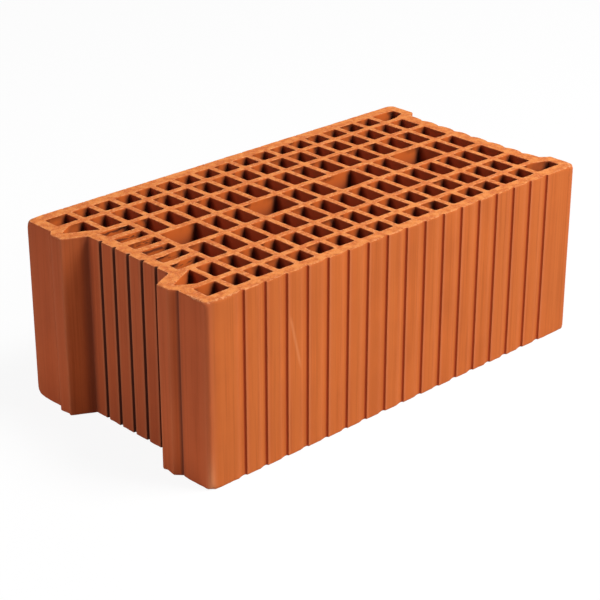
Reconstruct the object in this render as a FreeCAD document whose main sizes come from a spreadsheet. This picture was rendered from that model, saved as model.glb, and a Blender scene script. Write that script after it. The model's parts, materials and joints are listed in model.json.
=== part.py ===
import FreeCAD, Part
import os

import Sketcher

# A hollow clay block: one extruded and fired piece, laid with its holes upright. The section runs along X, from
# the mortar pocket at the low end to the ribbed end. Both sides of the XZ plane are alike, but for the long faces:
# the near one, at low Y, has bevelled grooves and the far one has scored lines. All in mm.

COLUMNS = 18
GRIP_HOLES = 4
COLUMNS_PER_GRIP = 4
POCKET_SLOTS = 6
END_NOTCHES = 7

SIZES = {
    "block_height": 175.0,
    "cell_length": 17.7,
    "column_web": 6.6,
    "core_cell_width": 32.0,
    "side_cell_width": 25.6,
    "edge_cell_width": 19.0,
    "row_web": 6.5,
    "face_shell": 12.9,
    "end_wall": 14.8,
    "post_radius": 7.0,
    "lip_proud": 4.7,
    "lip_width": 15.0,
    "lip_slope_width": 7.0,
    "lip_radius": 2.5,
    "lip_wall": 9.5,
    "post_crease_depth": 0.8,
    "post_crease_width": 1.2,
    "pocket_depth": 22.0,
    "pocket_floor_width": 110.0,
    "pocket_mouth_width": 132.0,
    "pocket_wall": 12.2,
    "slot_width": 11.7,
    "nose_shoulder": 15.0,
    "head_post_cell": 23.4,
    "head_post_wall": 12.3,
    "tail_post_cell": 30.3,
    "tail_post_wall": 11.4,
    "tail_post_width": 32.4,
    "tail_slope_width": 6.6,
    "tail_cell_cut_length": 15.0,
    "tail_cell_cut_width": 6.0,
    "groove_lead": 2.2,
    "groove_depth": 2.6,
    "groove_bevel": 8.5,
    "groove_flank": 0.4,
    "score_depth": 1.0,
    "score_width": 1.6,
    "floor_groove_depth": 3.8,
    "floor_groove_width": 3.4,
    "floor_groove_foot": 2.2,
    "end_notch_pitch": 22.5,
    "end_notch_depth": 2.8,
    "end_notch_width": 18.0,
    "end_notch_knee_depth": 0.9,
    "end_notch_knee_width": 8.0,
}


class Size:
    """A length with its value and the formula that ties it to the sheet."""

    def __init__(self, value, formula):
        self.value = value
        self.formula = formula

    def combine(self, other, sign, value):
        text = other.formula if isinstance(other, Size) else repr(other)
        return Size(value, f"({self.formula} {sign} {text})")

    def __add__(self, other):
        return self.combine(other, "+", self.value + plain(other))

    def __sub__(self, other):
        return self.combine(other, "-", self.value - plain(other))

    def __mul__(self, other):
        return self.combine(other, "*", self.value * plain(other))

    def __truediv__(self, other):
        return self.combine(other, "/", self.value / plain(other))

    def __neg__(self):
        return Size(-self.value, f"(0 - {self.formula})")


def plain(length):
    return length.value if isinstance(length, Size) else length


def write_sheet(doc):
    """Puts the driving dimensions in a sheet and hands them back as lengths tied to it."""
    sheet = doc.addObject("Spreadsheet::Sheet", "sizes")
    lengths = {}
    for row, (name, value) in enumerate(SIZES.items(), start=1):
        sheet.set(f"A{row}", name)
        sheet.set(f"B{row}", str(value))
        sheet.setAlias(f"B{row}", name)
        lengths[name] = Size(value, f"sizes.{name}")
    doc.recompute()
    return lengths


def plane(body, role):
    return next(item for item in body.Origin.OriginFeatures if item.Role == role)


def tie(sketch, kind, line, length):
    """Ties the start of a line to its distance from the origin, along X or Y."""
    start, origin = (line, 1), (-1, 1)
    ends = origin + start if length.value >= 0 else start + origin
    size = length if length.value >= 0 else -length
    index = sketch.addConstraint(Sketcher.Constraint(kind, *ends, size.value))
    sketch.setExpression(f"Constraints[{index}]", size.formula)


def draw(sketch, corners):
    """Draws a closed outline through corners, each a pair of lengths, and ties every corner to the sheet."""
    first = sketch.GeometryCount
    points = [FreeCAD.Vector(x.value, y.value, 0) for x, y in corners]
    for start, end in zip(points, points[1:] + points[:1]):
        sketch.addGeometry(Part.LineSegment(start, end), False)
    for n, (x, y) in enumerate(corners):
        following = first + (n + 1) % len(corners)
        sketch.addConstraint(Sketcher.Constraint("Coincident", first + n, 2, following, 1))
        tie(sketch, "DistanceX", first + n, x)
        tie(sketch, "DistanceY", first + n, y)


def mirrored(corners):
    return [(x, -y) for x, y in corners]


def rectangle(low_x, high_x, low_y, high_y):
    return [(low_x, low_y), (high_x, low_y), (high_x, high_y), (low_x, high_y)]


def new_sketch(body, name, outlines):
    sketch = body.newObject("Sketcher::SketchObject", name + "_sketch")
    sketch.AttachmentSupport = [(plane(body, "XY_Plane"), "")]
    sketch.MapMode = "FlatFace"
    for corners in outlines:
        draw(sketch, corners)
    return sketch


def cut_through(body, name, outlines):
    """Cuts outlines right through the block's height."""
    pocket = body.newObject("PartDesign::Pocket", name)
    pocket.Profile = new_sketch(body, name, outlines)
    pocket.Type = "ThroughAll"
    pocket.Reversed = True
    body.Tip = pocket
    return pocket


def cut_row(body, name, outlines, axis, step, count):
    """Cuts outlines through the block and repeats them along an axis of their sketch."""
    pocket = cut_through(body, name, outlines)
    row = body.newObject("PartDesign::LinearPattern", name + "_row")
    row.Originals = [pocket]
    row.Direction = (pocket.Profile[0], [axis])
    row.Occurrences = count
    row.setExpression("Length", (step * (count - 1)).formula)
    body.Tip = row


class Layout:
    """The lines of the section, worked out from the driving dimensions."""

    def __init__(self, size):
        self.pitch = size["cell_length"] + size["column_web"]
        # along the length, from the lips of the pocket
        self.lip = Size(0.0, "0 mm")
        self.head_post = size["lip_proud"]
        self.head_cell = self.head_post + size["head_post_wall"]
        self.head_cell_end = self.head_cell + size["head_post_cell"]
        self.first_cell = self.head_cell_end + size["column_web"]
        self.first_groove = self.first_cell - size["column_web"] / 2 + size["groove_lead"]
        self.last_cell = self.first_cell + self.pitch * (COLUMNS - 2)
        self.tail_face = self.last_cell + size["cell_length"] + size["end_wall"]
        self.tail_cell_end = self.last_cell + size["tail_post_cell"]
        self.tail_post = self.tail_cell_end + size["tail_post_wall"]
        # across the width, from the middle
        self.core = size["core_cell_width"] / 2
        self.inner = self.core + size["row_web"]
        self.inner_end = self.inner + size["core_cell_width"]
        self.side = self.inner_end + size["row_web"]
        self.side_end = self.side + size["side_cell_width"]
        self.edge = self.side_end + size["row_web"]
        self.edge_end = self.edge + size["edge_cell_width"]
        self.face = self.edge_end + size["face_shell"]
        self.slot_pitch = (size["core_cell_width"] + size["row_web"]) / 2

    def column(self, number):
        """Where the cell of a column starts, the columns numbered from the pocket end."""
        return self.first_cell + self.pitch * (number - 2)


def outer_half(size, at):
    """The corners of the outline on the positive Y side, from the middle of the pocket to the far end."""
    floor = size["pocket_floor_width"] / 2
    mouth = size["pocket_mouth_width"] / 2
    lip_end = mouth + size["lip_width"]
    crease = lip_end + size["lip_slope_width"]
    tail_slope = at.face - size["tail_post_width"]
    return [
        (size["pocket_depth"], floor),
        (at.lip, mouth),
        (at.lip, lip_end),
        (at.head_post + size["post_crease_depth"], crease),
        (at.head_post, crease + size["post_crease_width"]),
        (at.head_post, at.face),
        (at.tail_post, at.face),
        (at.tail_post, tail_slope),
        (at.tail_face, tail_slope - size["tail_slope_width"]),
    ]


def upright_edges(shape, corners):
    """The names of the upright edges of a shape that stand on given corners."""
    names = []
    for n, edge in enumerate(shape.Edges, start=1):
        low, high = edge.Vertexes[0].Point, edge.Vertexes[-1].Point
        upright = abs(low.x - high.x) + abs(low.y - high.y) < 1e-6
        if upright and any(abs(low.x - x.value) + abs(low.y - y.value) < 1e-3 for x, y in corners):
            names.append(f"Edge{n}")
    return names


def round_edges(body, name, base, corners, radius):
    fillet = body.newObject("PartDesign::Fillet", name)
    fillet.Base = (base, upright_edges(base.Shape, corners))
    fillet.setExpression("Radius", radius.formula)
    body.Tip = fillet
    body.Document.recompute()
    return fillet


def make_body(doc, size, at):
    """Pads the outline to the block's height and rounds its posts and lips."""
    body = doc.addObject("PartDesign::Body", "hollow_clay_block")
    body.Label = "hollow_clay_block"
    half = outer_half(size, at)
    pad = body.newObject("PartDesign::Pad", "clay")
    pad.Profile = new_sketch(body, "clay", [half + mirrored(half)[::-1]])
    pad.setExpression("Length", size["block_height"].formula)
    doc.recompute()
    posts = [half[5], half[6]]
    lips = [half[1], half[2], half[7]]
    rounded = round_edges(body, "round_posts", pad, posts + mirrored(posts), size["post_radius"])
    round_edges(body, "round_lips", rounded, lips + mirrored(lips), size["lip_radius"])
    return body


def cut_cells(body, size, at):
    """Cuts the plain cells of every row, the inner rows starting one column later, and the grip holes."""
    def cell(number, low_y, high_y):
        start = at.column(number)
        return rectangle(start, start + size["cell_length"], low_y, high_y)

    edge = cell(2, at.edge, at.edge_end)
    side = cell(2, at.side, at.side_end)
    inner = cell(3, at.inner, at.inner_end)
    column = [edge, side, inner]
    column += [mirrored(corners) for corners in column]
    cut_row(body, "cells", column, "H_Axis", at.pitch, COLUMNS - 2)

    grip_end = at.column(4) + size["cell_length"]
    core = [rectangle(at.column(3), grip_end, -at.core, at.core)]
    core += [cell(number, -at.core, at.core) for number in (5, 6)]
    cut_row(body, "grip_holes", core, "H_Axis", at.pitch * COLUMNS_PER_GRIP, GRIP_HOLES)


def cut_end_cells(body, size, at):
    """Cuts the longer cells of the four posts, the pointed cells beside the pocket and the last side cells."""
    head = rectangle(at.head_cell, at.head_cell_end, at.edge, at.edge_end)
    tail = [
        (at.last_cell, at.edge),
        (at.tail_cell_end - size["tail_cell_cut_length"], at.edge),
        (at.tail_cell_end, at.edge + size["tail_cell_cut_width"]),
        (at.tail_cell_end, at.edge_end),
        (at.last_cell, at.edge_end),
    ]
    slope = (size["pocket_mouth_width"] - size["pocket_floor_width"]) / 2 / size["pocket_depth"]
    nose = [
        (at.head_cell_end, at.side),
        (at.head_cell_end, at.side_end),
        (at.head_cell_end - size["nose_shoulder"], at.side_end),
        (size["lip_wall"], at.side + (at.head_cell_end - size["lip_wall"]) * slope),
    ]
    last_side = rectangle(at.last_cell, at.last_cell + size["cell_length"], at.side, at.side_end)
    ends = [head, tail, nose, last_side]
    cut_through(body, "end_cells", ends + [mirrored(corners) for corners in ends])


def cut_slots(body, size, at):
    """Cuts the narrow slots behind the floor of the pocket."""
    middle = at.slot_pitch * (POCKET_SLOTS - 1) / 2
    low = -middle - size["slot_width"] / 2
    start = size["pocket_depth"] + size["pocket_wall"]
    end = at.column(3) - size["column_web"]
    slot = rectangle(start, end, low, low + size["slot_width"])
    cut_row(body, "pocket_slots", [slot], "V_Axis", at.slot_pitch, POCKET_SLOTS)


def cut_grooves(body, size, at):
    """Cuts the upright grooves of the long faces, of the floor of the pocket and of the far end."""
    start = at.first_groove - size["groove_bevel"]
    end = at.first_groove + size["groove_flank"]
    outside = at.face + size["groove_depth"]
    groove = [
        (start, outside),
        (start, at.face),
        (at.first_groove, at.face - size["groove_depth"]),
        (end, at.face),
        (end, outside),
    ]
    half = size["score_width"] / 2
    score = [
        (at.first_groove - half, at.face),
        (at.first_groove, at.face - size["score_depth"]),
        (at.first_groove + half, at.face),
    ]
    cut_row(body, "face_grooves", [mirrored(groove), score], "H_Axis", at.pitch, COLUMNS - 1)

    floor_grooves = POCKET_SLOTS - 1
    middle = -at.slot_pitch * (floor_grooves - 1) / 2
    half = size["floor_groove_width"] / 2
    half_foot = size["floor_groove_foot"] / 2
    floor = size["pocket_depth"]
    foot = floor + size["floor_groove_depth"]
    slit = [(floor, middle - half), (floor, middle + half), (foot, middle + half_foot), (foot, middle - half_foot)]
    cut_row(body, "floor_grooves", [slit], "V_Axis", at.slot_pitch, floor_grooves)

    middle = -size["end_notch_pitch"] * (END_NOTCHES - 1) / 2
    half = size["end_notch_width"] / 2
    knee = size["end_notch_knee_width"] / 2
    face = at.tail_face
    shallow = face - size["end_notch_knee_depth"]
    notch = [
        (face, middle - half),
        (shallow, middle - knee),
        (face - size["end_notch_depth"], middle),
        (shallow, middle + knee),
        (face, middle + half),
    ]
    cut_row(body, "end_notches", [notch], "V_Axis", size["end_notch_pitch"], END_NOTCHES)


def check(doc, body):
    for item in doc.Objects:
        if "Invalid" in item.State or "Error" in item.State:
            raise RuntimeError(f"{item.Name} failed: {item.State}")
    if body.Shape.isNull() or not body.Shape.isValid() or len(body.Shape.Solids) != 1:
        raise RuntimeError("the block is not one valid solid")


def main():
    doc = FreeCAD.newDocument("hollow_clay_block")
    size = write_sheet(doc)
    at = Layout(size)
    body = make_body(doc, size, at)
    cut_grooves(body, size, at)
    cut_cells(body, size, at)
    cut_end_cells(body, size, at)
    cut_slots(body, size, at)
    body.setExpression("Placement.Base.x", (-at.tail_post / 2).formula)
    doc.recompute()
    check(doc, body)
    os.makedirs("parts", exist_ok=True)
    body.Shape.exportStep(f"parts/{body.Label}.step")
    box = body.Shape.BoundBox
    print("box", [round(v, 3) for v in (box.XMin, box.XMax, box.YMin, box.YMax, box.ZMin, box.ZMax)])
    print("volume", round(body.Shape.Volume), "faces", len(body.Shape.Faces))


main()
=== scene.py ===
"""Looks of the hollow clay block: its worn clay body, with the floor, the lamps and the camera."""
import itertools
import json
import math

import bpy
import numpy as np
from mathutils import Matrix, Vector
from mathutils.geometry import delaunay_2d_cdt
from mathutils.kdtree import KDTree


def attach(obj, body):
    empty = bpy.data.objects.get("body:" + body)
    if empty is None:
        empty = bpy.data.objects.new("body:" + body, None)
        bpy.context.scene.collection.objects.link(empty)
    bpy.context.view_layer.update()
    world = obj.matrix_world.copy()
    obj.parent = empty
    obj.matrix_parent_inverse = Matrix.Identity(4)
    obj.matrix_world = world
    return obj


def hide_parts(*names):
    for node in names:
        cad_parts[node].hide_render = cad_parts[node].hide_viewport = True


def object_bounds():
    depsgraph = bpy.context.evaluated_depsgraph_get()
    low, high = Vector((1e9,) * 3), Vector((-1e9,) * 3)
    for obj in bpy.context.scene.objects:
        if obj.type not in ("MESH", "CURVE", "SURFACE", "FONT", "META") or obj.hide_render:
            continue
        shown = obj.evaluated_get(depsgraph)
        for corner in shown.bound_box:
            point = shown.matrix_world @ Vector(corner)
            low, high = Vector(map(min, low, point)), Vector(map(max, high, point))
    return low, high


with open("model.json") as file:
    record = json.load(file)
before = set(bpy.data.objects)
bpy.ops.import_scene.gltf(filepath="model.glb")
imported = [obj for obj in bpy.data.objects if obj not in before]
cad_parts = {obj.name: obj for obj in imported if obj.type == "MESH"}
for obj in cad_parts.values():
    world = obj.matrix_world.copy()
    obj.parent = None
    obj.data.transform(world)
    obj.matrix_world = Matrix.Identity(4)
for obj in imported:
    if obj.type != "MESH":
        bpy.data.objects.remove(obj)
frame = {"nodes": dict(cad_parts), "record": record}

cad_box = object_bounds()

NODE = "hollow_clay_block"
MM = 0.001
TOUCH = 0.01
BLOCK_HEIGHT = 175.0
SEED = 418

# Mesh, in millimetres: spacing of its points, rounding of corners and depths of its rows. The scatter is a
# share of the spacing, the sharp edge's angle is in degrees, and the rounds even out the outer wall's
# directions
SKIN_SPACING = 3.2
CELL_SPACING = 2.6
CAP_SPACING = 3.3
FOOT_SPACING = 2.5 * CAP_SPACING
CAP_MARGIN = 1.25
CAP_SCATTER = 0.3
SKIN_EASE = 0.5
CELL_EASE = 1.7
SKIN_DEPTHS = (0.0, 0.3, 0.8, 1.8, 3.6, 6.5, 11.0)
SKIN_STEP = 9.0
CELL_DEPTHS = (0.0, 0.35, 0.9, 2.0)
CELL_DEEP = (6.0, 18.0, 45.0, 87.5, 130.0, 157.0, 170.0, 173.6, 174.5, 175.0)
SHARP_ANGLE = 24.0
SKIN_ROUNDS = 8

# Turns of an outline, in degrees: below the first it stays as it is, below the second it gets a plain bevel
EASY_TURN = 14.0
PLAIN_TURN = 40.0

# Most of an edge that a plain corner, a groove's root, or each of two roots on one edge may take
PLAIN_SHARE = 0.35
ROOT_SHARE = 0.62
TWIN_ROOT_SHARE = 0.48

# Root of a groove: the turn that makes it one, in degrees, and how far its rounding may reach up the flanks
ROOT_TURN = 75.0
ROOT_EASE = 5.0

# Corners of the posts beside the pocket: the section's rounding, how square they get between the cuts, and
# how far from a cut they stay round, in millimetres
POST_ROUNDING = 7.0
POST_SQUARENESS = 4.0
POST_FADE = 4.0

# Pocket in the end, in millimetres: spread of its slanted sides and reach of the painted shade up them
POCKET_SLOPE = 14.0
POCKET_SHADE_REACH = 21.0

# Slits in the pocket's floor, in millimetres: where they start and end below it, the depth from which clay
# fills them, and the share of the rest that it leaves open
SLIT_MOUTH = 0.3
SLIT_END = 10.0
SLIT_DEPTH = 1.8
SLIT_FILL = 0.5

# Strips between the slits, in millimetres: their rounding, and how close to the floor's plane and how far
# inside its sides their corners lie
STRIP_EASE = 1.4
STRIP_BAND = 1.5
STRIP_MARGIN = 2.0

# Shade in the pocket's inner corners: its strength, and its reach and its place past the floor in millimetres
CORNER_SHADE = 0.75
CORNER_REACH = 6.5
CORNER_ASIDE = 3.0

# Wear of the cut edges, in millimetres
TOP_WEAR = 0.45
FOOT_WEAR = 0.6
CELL_WEAR = 0.45
LEAST_WEAR = 0.05

# Shape of a worn edge: its slope and curve below the cut, the share of the wear by which the outer wall's and
# a hole's cut edge sags, and a hole's further sink in millimetres
WEAR_SLOPE = 1.5
WEAR_CURVE = 1.6
SKIN_SAG = 0.12
CELL_SAG = 0.15
CELL_SINK = 0.1

# Worn places on the cut edges, in millimetres: where they are, how far they reach, and the wear at the top
# and at the foot
WORN_PLACES = (
    ((-214.0, -125.0), 8.0, 1.1, 0.3),
    ((-231.0, -123.0), 5.0, 0.6, 1.2),
    ((-232.0, -111.0), 6.0, 1.3, 0.2),
    ((-231.0, 123.0), 7.0, 1.0, 1.7),
    ((-238.0, -72.0), 5.0, 0.8, 1.5),
    ((-238.0, 72.0), 5.0, 0.8, 1.5),
    ((236.0, -124.0), 8.0, 1.6, 1.2),
)

# Place rubbed pale at the foot of the near corner, in millimetres: where it is, its reach and its height
RUBBED_PLACE = WORN_PLACES[1][0]
RUB_REACH = 3.0
RUB_HEIGHT = 24.0

# Waves that the die left along the walls and hollows over them, in millimetres
DIE_WAVE = 0.10
DIE_SIZE = 7.0
DIE_LEAST = 0.04
HOLLOW = 0.12
HOLLOW_SIZE = 24.0
HOLLOW_STRETCH = 0.35

# Reach of the marks on upright edges, groove roots and the lip's step, in millimetres
EDGE_REACH = 1.4
ROOT_REACH = 0.8
STEP_REACH = 1.5

# Bands of the outer wall, in millimetres: the long faces with their grooves, and the lips beside the pocket
FACE_BAND = 8.0
WING_DEPTH = 12.0

# How fast a wall counts as an end as it turns along the block, and from where
END_GAIN = 1.7
END_START = 0.1

# Strength of the painted shade in the fold at the near lip's step, on the far and the near lip, and on the
# pocket's slanted sides at the top and further in, with the place down those sides where it ends
STEP_SHADE = 0.8
# Painted shade on the lips, growing towards the top
FAR_LIP_SHADE = 0.26
NEAR_LIP_SHADE = 0.13
SIDE_SHADE_TOP = 0.30
SIDE_SHADE_INSIDE = 0.04
SIDE_SHADE_END = 0.97

# Walls of the holes: how many times as long as wide a slot is at least, then how far and how widely the walls
# wander and their waves, in millimetres
SLOT_SHAPE = 2.0
DRIFT = 0.7
DRIFT_SIZE = 34.0
CELL_WAVE = 0.1
CELL_WAVE_SIZE = 30.0

# Lips of clay that the wire dragged over the slots and the other holes: how far they hang in millimetres with
# how widely they spread, their shape over the first rows, and the shade below them with its depth
SLOT_BURR = (1.8, 0.24)
CELL_BURR = (1.1, -0.06)
BURR_PROFILE = (0.75, 1.0, 0.5, 0.0)
BURR_SHADE = 0.4
BURR_FOOT = 0.5

# Far wall of a hole: how squarely it has to face across the block, and the band over which it comes in
FAR_TURN = 0.7
FAR_BAND = 0.3

# Painted shade in the inner corners of the holes, in millimetres: its reach and the depth at which it is
# darkest
NOOK_REACH = 4.0
NOOK_DEPTH = 3.0

# Wire-cut face, in millimetres: how deep it lies, its waves and its pits
CUT_SINK = 0.05
CUT_WAVE = 0.16
CUT_PIT = 0.5

# Marks on the clay, from 0 to 1: the wire's cut, the wall of a hole, a worn edge, an upright edge with a
# painted highlight, the root of a groove with painted shade, painted shade in inner corners, slits, folds, on
# the lips and under burrs, the sides that face along the block with a painted shade tint, a place rubbed pale
# and the far wall of a slot with painted shadow lines
MARKS = ("cut", "bore", "worn", "edge", "root", "nook", "end", "rubbed", "torn")


# Fields of lumps

def lumps(points, size, seed):
    """Smooth seeded noise between -1 and 1, with lumps about as large as the size."""
    points = np.asarray(points, float) / size
    whole = np.floor(points).astype(np.int64)
    part = points - whole
    part = part * part * (3.0 - 2.0 * part)
    table = np.random.default_rng(SEED + seed).uniform(-1.0, 1.0, 8192)
    primes = np.array((73856093, 19349663, 83492791))[:points.shape[1]]
    total = np.zeros(len(points))
    for corner in itertools.product((0, 1), repeat=points.shape[1]):
        corner = np.array(corner)
        mixed = np.bitwise_xor.reduce((whole + corner) * primes, axis=1) % len(table)
        total += table[mixed] * np.prod(np.where(corner, part, 1.0 - part), axis=1)
    return total


# Section of the block

def read_section(node):
    """Outlines of the cut top in millimetres, clay on their left and the outer one first, and its height."""
    mesh = node.data
    mesh.calc_loop_triangles()
    places = np.empty(3 * len(mesh.vertices))
    mesh.vertices.foreach_get("co", places)
    corners = np.empty(3 * len(mesh.loop_triangles), dtype=np.int32)
    mesh.loop_triangles.foreach_get("vertices", corners)
    places = (places.reshape(-1, 3) / MM).round(3)
    spots, same = np.unique(places, axis=0, return_inverse=True)
    corners = same.reshape(-1)[corners].reshape(-1, 3)
    high = spots[:, 2].max()
    flat = corners[(spots[corners][:, :, 2] > high - TOUCH).all(axis=1)]
    steps = {step for a, b, c in flat.tolist() for step in ((a, b), (b, c), (c, a))}
    after = {a: b for a, b in sorted(steps) if (b, a) not in steps}
    outlines = []
    while after:
        start, step = after.popitem()
        ring = [start]
        while step != start:
            ring.append(step)
            step = after.pop(step)
        outlines.append(spots[ring][:, :2])
    outlines.sort(key=lambda ring: tuple(ring.mean(axis=0)))
    outlines.sort(key=lambda ring: -np.ptp(ring[:, 1]))
    return outlines, high


def turns_of(ring):
    """How far an outline turns at each point, in radians, above 0 where the clay stands out."""
    to_last, to_next = np.roll(ring, 1, axis=0) - ring, np.roll(ring, -1, axis=0) - ring
    turned = to_last[:, 1] * to_next[:, 0] - to_last[:, 0] * to_next[:, 1]
    return np.arctan2(turned, -(to_last * to_next).sum(axis=1))


def squared_posts(ring):
    """The outer outline with tighter corners on the two posts beside the pocket."""
    side = np.abs(ring[:, 1])
    post = side > side.max() - POST_ROUNDING
    centre = np.array((ring[post, 0].min() + POST_ROUNDING, side.max() - POST_ROUNDING))
    out = np.column_stack((centre[0] - ring[:, 0], side - centre[1]))
    at_corner = (out > 0.0).all(axis=1)
    unit = out[at_corner] / POST_ROUNDING
    unit = unit / (unit ** POST_SQUARENESS).sum(axis=1)[:, None] ** (1.0 / POST_SQUARENESS)
    squared = ring.copy()
    squared[at_corner, 0] = centre[0] - unit[:, 0] * POST_ROUNDING
    squared[at_corner, 1] = np.sign(ring[at_corner, 1]) * (centre[1] + unit[:, 1] * POST_ROUNDING)
    return squared


def pocket_reach():
    """Where the pocket's floor lies along the block and how far it reaches to each side, in millimetres."""
    openings = frame["record"]["physics"]["openings"]
    pocket = next(gap for gap in openings if gap["name"] == "mortar_pocket")
    return (value / MM for value in pocket["box_m"][1][:2])


def filled_slits(ring):
    """The outer outline with the slits in the pocket's floor partly filled with dragged clay."""
    floor, side = pocket_reach()
    deep = floor + SLIT_DEPTH
    slit = (np.abs(ring[:, 1]) < side) & (ring[:, 0] > deep) & (ring[:, 0] < floor + SLIT_END)
    filled = ring.copy()
    filled[slit, 0] = deep + (ring[slit, 0] - deep) * SLIT_FILL
    return filled


def strip_ease(ring):
    """Rounding of each corner of the outer outline: more on the strips of the pocket's floor."""
    floor, side = pocket_reach()
    strip = (np.abs(ring[:, 1]) < side - STRIP_MARGIN) & (np.abs(ring[:, 0] - floor) < STRIP_BAND)
    return np.where(strip, STRIP_EASE, SKIN_EASE)


def eased(ring, ease, spacing, root_ease=0.0):
    """An outline with rounded corners and an even number of points no further apart than the spacing."""
    to_last, to_next = np.roll(ring, 1, axis=0) - ring, np.roll(ring, -1, axis=0) - ring
    behind, ahead = np.linalg.norm(to_last, axis=1), np.linalg.norm(to_next, axis=1)
    turns = np.degrees(turns_of(ring))
    root = turns < -ROOT_TURN if root_ease else np.zeros(len(ring), dtype=bool)
    cut_back = np.minimum(root_ease, np.where(np.roll(root, 1), TWIN_ROOT_SHARE, ROOT_SHARE) * behind)
    cut_on = np.minimum(root_ease, np.where(np.roll(root, -1), TWIN_ROOT_SHARE, ROOT_SHARE) * ahead)
    plain = np.minimum(ease, PLAIN_SHARE * np.minimum(behind, ahead))
    starts = ring + to_last * (np.where(root, cut_back, plain) / behind)[:, None]
    ends = ring + to_next * (np.where(root, cut_on, plain) / ahead)[:, None]
    points = []
    for here, start, end, turn in zip(ring, starts, ends, np.abs(turns)):
        t = np.linspace(0.0, 1.0, 2 if turn < PLAIN_TURN else 4)[:, None]
        rounded = (1 - t) ** 2 * start + 2 * t * (1 - t) * here + t ** 2 * end
        points.append(here[None] if turn < EASY_TURN else rounded)
    points = np.concatenate(points)
    runs = np.roll(points, -1, axis=0) - points
    counts = np.maximum(1, np.ceil(np.linalg.norm(runs, axis=1) / spacing)).astype(int)
    if counts.sum() % 2:
        counts[np.argmax(np.linalg.norm(runs, axis=1) / counts)] += 1
    divided = [p + run * (np.arange(n) / n)[:, None] for p, run, n in zip(points, runs, counts)]
    return np.concatenate(divided)


def into_clay(ring, rounds=0):
    """Unit directions from an outline into the clay beside it, evened out between neighbours."""
    along = np.roll(ring, -1, axis=0) - np.roll(ring, 1, axis=0)
    inward = np.stack((-along[:, 1], along[:, 0]), axis=1)
    for _ in range(rounds + 1):
        inward = inward / np.linalg.norm(inward, axis=1)[:, None]
        inward = np.roll(inward, 1, axis=0) + 2.0 * inward + np.roll(inward, -1, axis=0)
    return inward / np.linalg.norm(inward, axis=1)[:, None]


# Body of the block

class Body:
    """Vertices, faces and wear marks of the block, gathered wall by wall."""

    def __init__(self, high):
        self.high = high
        self.places, self.faces = [], []
        self.marks = {name: [] for name in MARKS}
        self.count = 0

    def add_row(self, flat, heights, **marks):
        """Adds one row of points and gives their numbers."""
        places = np.column_stack((flat, np.broadcast_to(heights, len(flat))))
        self.places.append(places)
        for name, kept in self.marks.items():
            kept.append(np.broadcast_to(np.asarray(marks.get(name, 0.0), float), len(flat)))
        numbers = np.arange(self.count, self.count + len(flat))
        self.count += len(flat)
        return numbers

    def join(self, upper, lower):
        """Faces between two rows of a wall, where the lower row has as many points or every second one."""
        upper_next = np.roll(upper, -1)
        if len(upper) == len(lower):
            self.faces += np.column_stack((upper_next, upper, lower, np.roll(lower, -1))).tolist()
            return
        start, middle, end = upper[::2], upper[1::2], np.roll(upper[::2], -1)
        lower_next = np.roll(lower, -1)
        self.faces += np.column_stack((middle, start, lower)).tolist()
        self.faces += np.column_stack((middle, lower, lower_next)).tolist()
        self.faces += np.column_stack((end, middle, lower_next)).tolist()

    def add_wall(self, rows):
        """Joins rows from the top down and gives the first and the last."""
        for upper, lower in zip(rows, rows[1:]):
            self.join(upper, lower)
        return rows[0], rows[-1]

    def add_cap(self, rings, heights_at, facing_up, spread):
        """Cut face between the outer ring and the holes, with loose points over the clay."""
        places = np.concatenate(self.places)
        ring_numbers = np.concatenate(rings)
        ring_points = places[ring_numbers][:, :2]
        near = KDTree(len(ring_points))
        for number, point in enumerate(ring_points):
            near.insert((*point, 0.0), number)
        near.balance()
        low, top = ring_points.min(axis=0), ring_points.max(axis=0)
        lines = [np.arange(a, b, spread) for a, b in zip(low, top)]
        grid = np.stack(np.meshgrid(*lines), axis=-1).reshape(-1, 2)
        scatter = np.random.default_rng(SEED).uniform(-CAP_SCATTER, CAP_SCATTER, grid.shape)
        grid += scatter * spread
        grid = grid[[near.find((*point, 0.0))[2] > CAP_MARGIN for point in grid]]
        flat = np.concatenate((ring_points, grid))
        starts = np.cumsum([0] + [len(ring) for ring in rings])
        bounds = [list(range(a, b)) for a, b in zip(starts, starts[1:])]
        bounds = bounds[:1] + [hole[::-1] for hole in bounds[1:]]
        made = delaunay_2d_cdt([Vector(point) for point in flat], [], bounds, 1, 1e-6, True)
        points, faces, origins, owners = made[0], made[2], made[3], made[5]
        clay = [face for face, owner in zip(faces, owners) if owner == [0]]
        number = {}
        loose = []
        for corner in sorted({corner for face in clay for corner in face}):
            source = origins[corner][0]
            if source < len(ring_points):
                number[corner] = int(ring_numbers[source])
            else:
                loose.append(corner)
        loose_flat = np.array([points[corner] for corner in loose])
        fresh = self.add_row(loose_flat, heights_at(loose_flat), cut=1.0)
        number.update(zip(loose, fresh.tolist()))
        for face in clay:
            corners = [number[corner] for corner in face]
            self.faces.append(corners if facing_up else corners[::-1])

    def build(self, name):
        """Makes the piece, with its marks as attributes of the mesh."""
        mesh = bpy.data.meshes.new(name)
        mesh.from_pydata((np.concatenate(self.places) * MM).tolist(), [], self.faces)
        for mark, kept in self.marks.items():
            layer = mesh.attributes.new(mark, "FLOAT", "POINT")
            layer.data.foreach_set("value", np.concatenate(kept))
        mesh.shade_smooth()
        mesh.set_sharp_from_angle(angle=math.radians(SHARP_ANGLE))
        mesh.validate()
        piece = bpy.data.objects.new(name, mesh)
        bpy.context.scene.collection.objects.link(piece)
        return piece


def near_turns(ring, turns, reach):
    """How near each point of an outline lies to the given turns, from 0 to 1, over a reach in millimetres."""
    away = np.linalg.norm(ring[:, None] - ring[None], axis=2)
    felt = np.clip(turns, 0.0, None)[None] * np.exp(-(away / reach) ** 2)
    return np.clip(felt.sum(axis=1), 0.0, 1.0)


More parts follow.
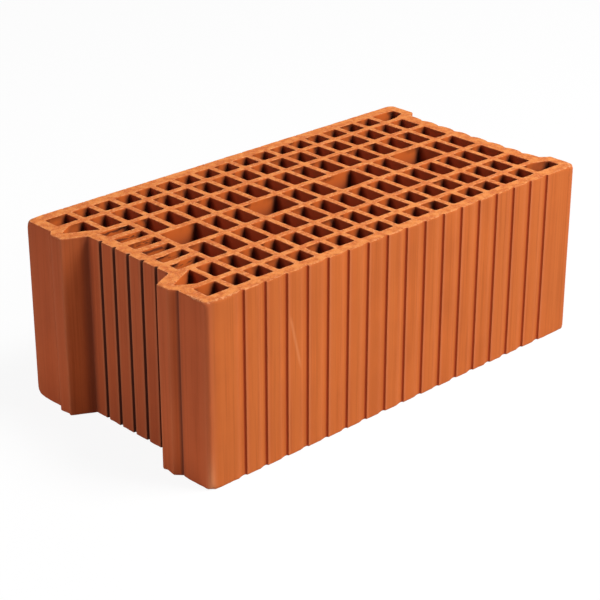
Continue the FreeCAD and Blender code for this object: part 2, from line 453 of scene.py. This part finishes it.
def pocket_shade(ring):
    """Painted shade in the pocket's slits and inner corners, and how far points lie down its slanted sides.
    """
    floor, side = pocket_reach()
    inner = np.abs(ring[:, 1]) < side + POCKET_SLOPE
    slant = np.clip(1.0 - (floor - ring[:, 0]) / POCKET_SHADE_REACH, 0.0, 1.0) * (ring[:, 0] < floor + SLIT_MOUTH)
    # Painted shade in the slits of the pocket's floor
    slit = np.clip(ring[:, 0] - floor - SLIT_MOUTH, 0.0, 1.0) * (ring[:, 0] < floor + SLIT_END)
    away = np.hypot(ring[:, 0] - floor, np.abs(ring[:, 1]) - side - CORNER_ASIDE)
    corner = CORNER_SHADE * inner * np.exp(-(away / CORNER_REACH) ** 2)
    return np.maximum(inner * slit, corner), inner * slant


def arris_wear(ring, base, seed):
    """How far the cut edge is worn back along an outline."""
    rough = 0.55 * lumps(ring, size=6.0, seed=seed) + 0.45 * lumps(ring, size=2.1, seed=seed + 1)
    return np.maximum(LEAST_WEAR, base * (1.0 + 0.8 * rough))


def worn_places(ring, foot):
    """Extra wear of an outline's cut edge at the places where it was knocked."""
    extra = np.zeros(len(ring))
    for middle, reach, top_wear, foot_wear in WORN_PLACES:
        away = np.linalg.norm(ring - middle, axis=1) / reach
        knock = (foot_wear if foot else top_wear) * np.exp(-away ** 2)
        extra += knock * (1.0 + 0.5 * lumps(ring, size=2.4, seed=21))
    return extra


def worn_back(wear, depth):
    """Set-back of a wall at a depth below a worn edge."""
    reach = np.clip(1.0 - depth / (WEAR_SLOPE * wear), 0.0, 1.0)
    return wear * reach ** WEAR_CURVE


def cap_height(high):
    """Height of the wire-cut face over the section."""
    def heights(flat):
        pitted = np.clip(lumps(flat, size=2.4, seed=31) - 0.35, 0.0, 1.0)
        waves = 0.5 + 0.5 * lumps(flat * (1.0, 0.25), size=5.0, seed=32)
        return high - CUT_SINK - CUT_WAVE * waves - CUT_PIT * pitted
    return heights


def make_skin(body, ring):
    """Outer wall of the block with die marks along its height and worn cut edges."""
    ring = filled_slits(ring)
    ring = eased(ring, strip_ease(ring), SKIN_SPACING, ROOT_EASE)
    squared = squared_posts(ring) - ring
    inward = into_clay(ring, SKIN_ROUNDS)
    turns = turns_of(ring)
    top_wear = arris_wear(ring, TOP_WEAR, seed=1) + worn_places(ring, foot=False)
    foot_wear = arris_wear(ring, FOOT_WEAR, seed=3) + worn_places(ring, foot=True)
    die_marks = DIE_WAVE * (1.0 + lumps(ring, DIE_SIZE, seed=5)) + DIE_LEAST
    slit, slant = pocket_shade(ring)
    on_face = np.abs(ring[:, 1]) > np.abs(ring[:, 1]).max() - FACE_BAND
    # Convex upright edges, which get a painted highlight
    edge = near_turns(ring, turns, EDGE_REACH)
    # Roots of the grooves on the long faces, which get painted shade
    root = near_turns(ring, -turns, ROOT_REACH) * on_face
    # Painted shade in the fold at the near lip's step
    step = STEP_SHADE * (near_turns(ring, -turns, STEP_REACH) * ~on_face * (ring[:, 1] < 0.0))
    # Walls that face along the block, which get a painted tint for their shade
    end = np.clip(END_GAIN * np.abs(inward[:, 0]) - END_START, 0.0, 1.0)
    rub = np.exp(-(np.linalg.norm(ring - RUBBED_PLACE, axis=1) / RUB_REACH) ** 2)
    wing = (ring[:, 0] < ring[:, 0].min() + WING_DEPTH) * (slant == 0.0)
    wing = np.where(ring[:, 1] > 0.0, FAR_LIP_SHADE * wing, NEAR_LIP_SHADE * wing)
    last = SKIN_DEPTHS[-1]
    middle = np.arange(last + SKIN_STEP, body.high - last - 0.5 * SKIN_STEP, SKIN_STEP)
    depths = [*SKIN_DEPTHS, *middle, *(body.high - depth for depth in reversed(SKIN_DEPTHS))]
    rows = []
    for depth in depths:
        height = body.high - depth
        worn = worn_back(top_wear, depth) + worn_back(foot_wear, height)
        square = 1.0 - math.exp(-(depth / POST_FADE) ** 2) - math.exp(-(height / POST_FADE) ** 2)
        spots = np.column_stack((ring, np.full(len(ring), height * HOLLOW_STRETCH)))
        back = worn + die_marks + HOLLOW * (1.0 + lumps(spots, HOLLOW_SIZE, seed=6))
        flat = ring + square * squared + inward * back[:, None]
        sunk = SKIN_SAG * top_wear if depth == 0.0 else 0.0
        # Painted shade on the pocket's slanted sides, darker towards the top and further in
        side_shade = SIDE_SHADE_TOP * (height / body.high) ** 3 + SIDE_SHADE_INSIDE * slant ** 1.5
        side_shade = (slant > 0.0) * (slant < SIDE_SHADE_END) * side_shade
        # Painted shade on the lips beside the pocket, darker towards the top
        lip_shade = wing * height / body.high
        rows.append(body.add_row(
            flat, height - sunk, edge=edge, root=root, end=end,
            cut=1.0 if depth == 0.0 or height == 0.0 else 0.0,
            worn=np.clip(worn, 0.0, 1.0),
            nook=np.maximum(np.maximum(slit, side_shade), np.maximum(lip_shade, step)),
            rubbed=rub * math.exp(-(height / RUB_HEIGHT) ** 2)))
    return body.add_wall(rows)


def far_wall(inward):
    """How squarely each point of a hole lies on its far wall, from 0 to 1."""
    return np.clip((inward[:, 1] - FAR_TURN) / FAR_BAND, 0.0, 1.0)


def burr_hang(ring, inward, hang, spread):
    """How far the wire dragged clay out over the hole's far edge."""
    ragged = lumps(ring, size=9.0, seed=15) + 0.45 * lumps(ring, size=2.6, seed=16)
    return hang * far_wall(inward) * np.clip(ragged + spread, 0.0, 1.0)


def make_cell(body, ring):
    """Wall of one hole, finer near the cut top than below."""
    length, width = np.ptp(ring, axis=0)
    slot = length > SLOT_SHAPE * width
    ring = eased(ring, CELL_EASE, CELL_SPACING)
    drift = np.column_stack([lumps(ring, DRIFT_SIZE, seed) for seed in (11, 12)])
    ring = ring + DRIFT * drift
    inward = into_clay(ring)
    wear = arris_wear(ring, CELL_WEAR, seed=13)
    burr = burr_hang(ring, inward, *(SLOT_BURR if slot else CELL_BURR))
    # Painted shade in each hole's inner corners, growing over the first rows
    nook = near_turns(ring, -turns_of(ring), NOOK_REACH)
    # Hole walls that face the pocket's end, which get a painted colour for their shade
    end = np.clip(inward[:, 0], 0.0, 1.0)
    # Far walls of the slots, which get painted shadow lines
    torn = slot * far_wall(inward)
    rows = []
    for depth, share in zip(CELL_DEPTHS, BURR_PROFILE):
        worn = worn_back(wear, depth)
        flat = ring + inward * (worn - burr * share)[:, None]
        sunk = CELL_SAG * wear + CELL_SINK if depth == 0.0 else 0.0
        shade = nook * depth / NOOK_DEPTH + BURR_SHADE * burr * (depth > BURR_FOOT)
        rows.append(body.add_row(
            flat, body.high - depth - sunk, bore=1.0, worn=worn, end=end, torn=torn,
            cut=1.0 if depth == 0.0 else 0.0,
            nook=np.clip(shade, 0.0, 1.0)))
    ring, inward, wear = ring[::2], inward[::2], wear[::2]
    nook, end, torn = nook[::2], end[::2], torn[::2]
    for depth in CELL_DEEP:
        height = body.high - depth
        spots = np.column_stack((ring, np.full(len(ring), depth)))
        back = worn_back(wear, height) + CELL_WAVE * lumps(spots, CELL_WAVE_SIZE, seed=17)
        rows.append(body.add_row(
            ring + inward * back[:, None], height, bore=1.0, nook=nook, end=end, torn=torn,
            cut=1.0 if height == 0.0 else 0.0))
    return body.add_wall(rows)


def make_block():
    """The whole block: its outer wall, the walls of its holes and its two cut faces."""
    outlines, high = read_section(frame["nodes"][NODE])
    body = Body(high)
    walls = [make_skin(body, outlines[0])]
    walls += [make_cell(body, ring) for ring in outlines[1:]]
    tops, feet = zip(*walls)
    body.add_cap(tops, cap_height(high), facing_up=True, spread=CAP_SPACING)
    body.add_cap(feet, lambda flat: np.zeros(len(flat)), facing_up=False, spread=FOOT_SPACING)
    return body.build("clay_block")


# Finishes

def colour(red, green, blue):
    return (red, green, blue, 1.0)


# Smooth skin of the walls
SKIN_DULL = colour(0.54, 0.120, 0.019)
SKIN_WARM = colour(0.62, 0.140, 0.022)
BROAD_LINE = colour(0.62, 0.150, 0.027)
FINE_LINE = colour(0.47, 0.098, 0.013)
# Painted shade tint for the walls that face along the block
END_SHADE_TINT = colour(1.0, 0.87, 1.2)
# Painted highlight on convex upright edges
UPRIGHT_HIGHLIGHT = colour(0.72, 0.230, 0.085)
# Painted shade beside and in the roots of the grooves
GROOVE_SIDE_SHADE = colour(0.48, 0.105, 0.012)
GROOVE_ROOT_SHADE = colour(0.42, 0.046, 0.004)
RUBBED_CLAY = colour(0.84, 0.340, 0.140)

# Walls of the holes
HOLE_SIDE = colour(0.68, 0.134, 0.016)
# Painted shade: cooler, lighter copy of the hole clay for the walls that face the pocket's end
HOLE_SHADED_SIDE = colour(0.66, 0.134, 0.035)
# Painted shade deeper in the holes
HOLE_DEEP_SHADE = colour(0.275, 0.046, 0.017)
# Painted shadow: dark lines just below the slots' far edges
GASH_SHADOW = colour(0.11, 0.020, 0.006)
# Painted shade: near-black clay for inner corners, slits, folds, lips, the pocket's sides and under burrs
PAINTED_SHADE_DARK = colour(0.045, 0.010, 0.006)

# Wire-cut faces and worn edges
CRUMB_DARK = colour(0.54, 0.125, 0.024)
CRUMB_LIGHT = colour(0.75, 0.218, 0.048)
SMEAR_PALE = colour(0.84, 0.297, 0.075)
SMEAR_DULL = colour(0.62, 0.150, 0.040)
GRAIN_PALE = colour(0.90, 0.49, 0.29)
CHIP_DARK = colour(0.46, 0.112, 0.028)
CHIP_PALE = colour(0.90, 0.44, 0.20)

# Stage
WHITE = colour(1.0, 1.0, 1.0)
FLOOR_LIT = colour(0.50, 0.50, 0.50)
FLOOR_SEEN = colour(0.95, 0.95, 0.95)
FLOOR_GLOW = 0.92

# Pale streak on the near face, in metres: how far before the middle its line meets the foot, its lean, its
# width, the heights over which it starts and ends, and the place of the face
STREAK_PLACE = 0.1105
STREAK_LEAN = 0.229
STREAK_WIDTH = 0.0026
STREAK_FOOT = (0.078, 0.092)
STREAK_HEAD = (0.138, 0.126)
STREAK_FACE = (-0.118, -0.122)

# Painted shadow lines on the slots' far walls and painted shade deeper in the holes, in metres from the
# nearer cut face
GASH_SHADOW_TOP = (0.0012, 0.0022)
GASH_SHADOW_FOOT = (0.0056, 0.0034)
HOLE_SHADE_DEPTHS = (0.002, 0.028)


class Wired:
    """One socket of a finish; sums and products with it add Math nodes."""

    def __init__(self, finish, socket):
        self.finish, self.socket = finish, socket

    def maths(self, operation, left, right):
        return self.finish.node("ShaderNodeMath", {"operation": operation}, {0: left, 1: right})

    def __add__(self, other):
        return self.maths("ADD", self, other)

    def __radd__(self, other):
        return self.maths("ADD", other, self)

    def __sub__(self, other):
        return self.maths("SUBTRACT", self, other)

    def __rsub__(self, other):
        return self.maths("SUBTRACT", other, self)

    def __mul__(self, other):
        return self.maths("MULTIPLY", self, other)

    def __rmul__(self, other):
        return self.maths("MULTIPLY", other, self)


class Finish:
    """The nodes of a material or of the world."""

    def __init__(self, owner):
        owner.use_nodes = True
        self.owner, self.tree = owner, owner.node_tree
        self.tree.nodes.clear()

    def node(self, kind, settings=None, sockets=None, out=0):
        """Adds a node: its settings first, then the values or links of its sockets."""
        made = self.tree.nodes.new(kind)
        for name, value in (settings or {}).items():
            setattr(made, name, value)
        for name, value in (sockets or {}).items():
            if isinstance(name, int):
                socket = made.inputs[name]
            else:
                socket = next(s for s in made.inputs if name in (s.identifier, s.name))
            if isinstance(value, Wired):
                self.tree.links.new(value.socket, socket)
            else:
                socket.default_value = value
        if isinstance(out, int):
            return Wired(self, made.outputs[out]) if len(made.outputs) else made
        return Wired(self, next(s for s in made.outputs if out in (s.identifier, s.name)))

    def mark(self, name):
        return self.node("ShaderNodeAttribute", {"attribute_name": name}, out="Fac")

    def noise(self, vector, scale, detail, roughness=0.5):
        sockets = {"Vector": vector, "Scale": scale, "Detail": detail, "Roughness": roughness}
        return self.node("ShaderNodeTexNoise", {}, sockets)

    def stretch(self, vector, factors):
        return self.node("ShaderNodeVectorMath", {"operation": "MULTIPLY"}, {0: vector, 1: factors})

    def between(self, value, low, high):
        return self.node("ShaderNodeMapRange", {"interpolation_type": "SMOOTHSTEP"},
                         {"Value": value, "From Min": low, "From Max": high})

    def mix(self, factor, first, second, blend="MIX"):
        return self.node("ShaderNodeMix", {"data_type": "RGBA", "blend_type": blend},
                         {"Factor_Float": factor, "A_Color": first, "B_Color": second}, out="Result_Color")

    def show(self, shader, output="ShaderNodeOutputMaterial"):
        self.node(output, {}, {"Surface": shader})
        return self.owner


def fired_clay():
    """Fired brick clay: smooth die skin on the walls and a granular, more orange cut on top."""
    clay = Finish(bpy.data.materials.new("fired_clay"))
    spot = clay.node("ShaderNodeTexCoord", out="Object")
    cut, bore, worn, edge, root, nook, end, rubbed, torn = (clay.mark(name) for name in MARKS)
    along, across, upward = (clay.node("ShaderNodeSeparateXYZ", {}, {0: spot}, out=axis) for axis in "XYZ")
    below = BLOCK_HEIGHT * MM - upward
    depth = clay.node("ShaderNodeMath", {"operation": "MINIMUM"}, {0: upward, 1: below})
    leaning = along + STREAK_PLACE + upward * STREAK_LEAN
    aside = clay.node("ShaderNodeMath", {"operation": "ABSOLUTE"}, {0: leaning})
    streak = clay.between(aside, STREAK_WIDTH, 0.0) * clay.between(across, *STREAK_FACE)
    streak = streak * clay.between(upward, *STREAK_FOOT) * clay.between(upward, *STREAK_HEAD)
    ragged = clay.noise(clay.stretch(spot, (0.6, 1.0, 2.0)), scale=190.0, detail=2.0)
    # Painted shadow lines a few millimetres below the slots' far edges
    gash_shadow = torn * clay.between(depth, *GASH_SHADOW_TOP) * clay.between(depth, *GASH_SHADOW_FOOT)
    gash_shadow = gash_shadow * clay.between(ragged, 0.45, 0.54)
    drawn = clay.stretch(spot, (1.0, 1.0, 0.02))
    patches = clay.noise(spot, scale=16.0, detail=3.0)
    fine_lines = clay.noise(drawn, scale=420.0, detail=3.0, roughness=0.6)
    broad_lines = clay.noise(drawn, scale=95.0, detail=2.0)
    grains = clay.noise(spot, scale=1100.0, detail=3.0, roughness=0.65)
    crumbs = clay.noise(spot, scale=420.0, detail=4.0, roughness=0.6)
    smears = clay.noise(spot, scale=130.0, detail=2.0)

    skin = clay.mix(clay.between(patches, 0.3, 0.7), SKIN_DULL, SKIN_WARM)
    skin = clay.mix(clay.between(broad_lines, 0.38, 0.62) * 0.7, skin, BROAD_LINE)
    skin = clay.mix(clay.between(fine_lines, 0.48, 0.70) * 0.55, skin, FINE_LINE)
    # Painted shade tint on the walls that face along the block
    skin = clay.mix(end, skin, END_SHADE_TINT, "MULTIPLY")
    # Painted highlight on convex upright edges
    skin = clay.mix(edge * 0.4, skin, UPRIGHT_HIGHLIGHT)
    # Painted shade beside and in the groove roots
    skin = clay.mix(clay.between(root, 0.02, 0.3) * 0.4, skin, GROOVE_SIDE_SHADE)
    skin = clay.mix(clay.between(root, 0.3, 0.8) * 0.8, skin, GROOVE_ROOT_SHADE)
    skin = clay.mix(streak * 0.28 + rubbed * 0.6, skin, RUBBED_CLAY)
    # Painted shade: hole walls that face the pocket's end get their shaded copy of the clay
    inside = clay.mix(end, HOLE_SIDE, HOLE_SHADED_SIDE)
    # Painted shade: the hole walls darken with depth below the cut faces
    inside = clay.mix(clay.between(depth, *HOLE_SHADE_DEPTHS), inside, HOLE_DEEP_SHADE)
    inside = clay.mix(gash_shadow * 0.85, inside, GASH_SHADOW)
    skin = clay.mix(bore, skin, inside)
    # Painted shade: darkens inner corners, slits, folds, lips and the pocket's sides towards near black
    skin = clay.mix(nook * 0.9, skin, PAINTED_SHADE_DARK)
    face = clay.mix(clay.between(crumbs, 0.32, 0.66), CRUMB_DARK, CRUMB_LIGHT)
    face = clay.mix(clay.between(smears, 0.42, 0.66) * 0.7, face, SMEAR_PALE)
    face = clay.mix(clay.between(smears, 0.46, 0.30) * 0.5, face, SMEAR_DULL)
    face = clay.mix(clay.between(grains, 0.57, 0.70) * 0.6, face, GRAIN_PALE)
    shade = clay.mix(cut, skin, face)
    chips = clay.mix(clay.between(crumbs, 0.44, 0.60), CHIP_DARK, CHIP_PALE)
    shade = clay.mix(clay.between(worn, 0.05, 0.6) * 0.5, shade, chips)

    height = fine_lines * (1 - cut) * 0.35 + grains * (0.2 + 0.8 * cut) * 0.5 + crumbs * cut * 0.8
    relief = clay.node("ShaderNodeBump", {}, {"Strength": 0.35, "Distance": 0.0006, "Height": height})
    rough = 0.74 + 0.14 * grains
    sockets = {"Base Color": shade, "Roughness": rough, "Normal": relief, "Specular IOR Level": 0.3}
    return clay.show(clay.node("ShaderNodeBsdfPrincipled", {}, sockets))


def white_floor():
    """Pale floor that reads as white to the camera and still takes a faint shadow."""
    floor = Finish(bpy.data.materials.new("white_floor"))
    seen = floor.node("ShaderNodeLightPath", out="Is Camera Ray")
    mirrored = floor.node("ShaderNodeLightPath", out="Is Glossy Ray")
    passed = floor.node("ShaderNodeLightPath", out="Is Transmission Ray")
    tone = floor.mix(seen, FLOOR_LIT, FLOOR_SEEN)
    plain = floor.node("ShaderNodeBsdfDiffuse", {}, {"Color": tone})
    glow = floor.node("ShaderNodeEmission", {}, {"Color": WHITE, "Strength": 1.0})
    share = (seen + mirrored + passed) * FLOOR_GLOW
    return floor.show(floor.node("ShaderNodeMixShader", {}, {0: share, 1: plain, 2: glow}))


# Stage

def make_floor():
    """White floor that the block stands on."""
    reach = 6.0
    corners = [(-reach, -reach, 0.0), (reach, -reach, 0.0), (reach, reach, 0.0), (-reach, reach, 0.0)]
    mesh = bpy.data.meshes.new("floor")
    mesh.from_pydata(corners, [], [(0, 1, 2, 3)])
    floor = bpy.data.objects.new("floor", mesh)
    bpy.context.scene.collection.objects.link(floor)
    mesh.materials.append(white_floor())


def make_lamp(name, centre, toward, distance, width, height, power, tint=(1.0, 1.0, 1.0)):
    """Soft box that faces the block from the given side."""
    data = bpy.data.lights.new(name, "AREA")
    data.shape, data.size, data.size_y, data.energy = "RECTANGLE", width, height, power
    data.color = tint
    lamp = bpy.data.objects.new(name, data)
    bpy.context.scene.collection.objects.link(lamp)
    back = Vector(toward).normalized()
    lamp.location = centre + back * distance
    lamp.rotation_mode = "QUATERNION"
    lamp.rotation_quaternion = back.to_track_quat("Z", "Y")


def make_lamps(centre):
    """Large soft boxes above and in front, with weak ones behind and low beside the pocket's end."""
    make_lamp("top_lamp", centre, toward=(0.294, -0.405, 0.866), distance=3.0,
              width=1.0, height=1.0, power=85.0)
    make_lamp("front_lamp", centre, toward=(0.324, -0.803, 0.5), distance=3.0,
              width=1.0, height=1.0, power=33.0)
    make_lamp("back_fill", centre, toward=(-0.661, 0.517, 0.545), distance=3.0,
              width=0.8, height=0.8, power=6.0, tint=(0.92, 0.82, 1.0))
    make_lamp("low_strip", centre, toward=(-1.0, 0.12, 0.03), distance=1.8,
              width=1.6, height=0.2, power=6.4, tint=(1.0, 0.88, 1.0))


def make_sky(strength):
    """Even white round the scene: full to the camera, weaker as light."""
    sky = Finish(bpy.data.worlds.new("studio"))
    seen = sky.node("ShaderNodeLightPath", out="Is Camera Ray")
    even = sky.node("ShaderNodeBackground", {}, {"Color": WHITE, "Strength": strength})
    full = sky.node("ShaderNodeBackground", {}, {"Color": WHITE, "Strength": 1.0})
    shown = sky.node("ShaderNodeMixShader", {}, {0: seen, 1: even, 2: full})
    bpy.context.scene.world = sky.show(shown, "ShaderNodeOutputWorld")


def make_camera(centre):
    """Camera at the photograph's angle; its slide across the view is in metres."""
    turn, rise = math.radians(-43.39), math.radians(24.60)
    focal, image, distance = 1781.36, 600.0, 1.69937
    slide_right, slide_up = -0.00896, -0.02151
    right = Vector((math.cos(turn), math.sin(turn), 0.0))
    back = Vector((math.sin(turn) * math.cos(rise), -math.cos(turn) * math.cos(rise), math.sin(rise)))
    up = back.cross(right)
    data = bpy.data.cameras.new("camera")
    data.sensor_width = 36.0
    data.lens = focal / image * data.sensor_width
    camera = bpy.data.objects.new("camera", data)
    bpy.context.scene.collection.objects.link(camera)
    turned = Matrix((right, up, back)).transposed().to_4x4()
    place = centre + right * slide_right + up * slide_up + back * distance
    camera.matrix_world = Matrix.Translation(place) @ turned
    bpy.context.scene.camera = camera


block = make_block()
block.data.materials.append(fired_clay())
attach(block, "root")
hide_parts(NODE)

centre = (cad_box[0] + cad_box[1]) / 2
make_floor()
make_sky(0.13)
make_lamps(centre)
make_camera(centre)
bpy.context.scene.view_settings.view_transform = "Standard"
